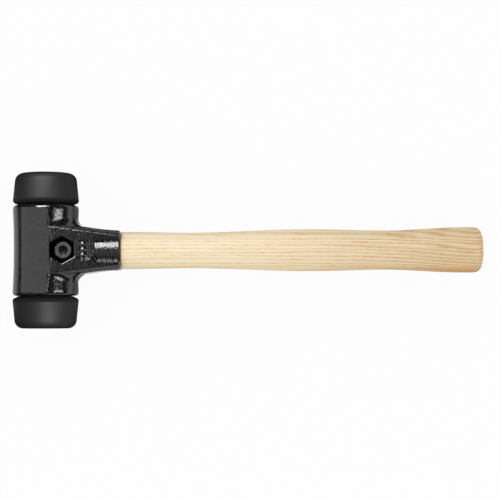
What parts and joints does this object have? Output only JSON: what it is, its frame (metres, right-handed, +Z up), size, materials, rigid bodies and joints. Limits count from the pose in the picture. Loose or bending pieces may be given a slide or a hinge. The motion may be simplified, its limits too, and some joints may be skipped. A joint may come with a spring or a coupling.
{
  "type": "soft face hammer",
  "caption": "Soft face hammer: a split cast housing, closed by a cap screw and nut, clamps replaceable black rubber faces and a shaped hickory handle.",
  "frame": {"origin": "on the surface that the hammer lies on, under the middle of its outline", "axes": "+X along the handle, away from the head; +Y along the striking axis; +Z up, out of the housing's screw side"},
  "size_m": [0.358, 0.1182, 0.05],
  "materials": {
    "enamelled_iron": "gloss black enamel over a casting skin",
    "black_rubber": "matt, moulded",
    "hickory": "clear lacquer over straight grain",
    "blackened_steel": "black oxide"
  },
  "bodies": {
    "back_housing": {"back_shell": "enamelled_iron", "clamp_nut": "blackened_steel", "handle": "hickory"},
    "front_housing": {"front_shell": "enamelled_iron", "lock_washer": "blackened_steel"},
    "screw": {"clamp_screw": "blackened_steel"},
    "right_face": {"right_striking_face": "black_rubber"},
    "left_face": {"left_striking_face": "black_rubber"}
  },
  "joints": [
    {"name": "clamp_open", "type": "slide", "parent": "back_housing", "child": "front_housing", "axis": [0, 0, 1], "range_m": [0, 0.0075]},
    {"name": "screw_turn", "type": "hinge", "parent": "front_housing", "child": "screw", "pos_m": [-0.13945, 0, 0.025], "axis": [0, 0, 1], "range_deg": [0, 2160.01]},
    {"name": "right_face_pull", "type": "slide", "parent": "back_housing", "child": "right_face", "axis": [0, 1, 0], "range_m": [0, 0.025]},
    {"name": "left_face_pull", "type": "slide", "parent": "back_housing", "child": "left_face", "axis": [0, -1, 0], "range_m": [0, 0.025]}
  ],
  "couplings": [
    {"joint": "screw_turn", "follows": "clamp_open", "rad_per_m": 5026.5}
  ]
}
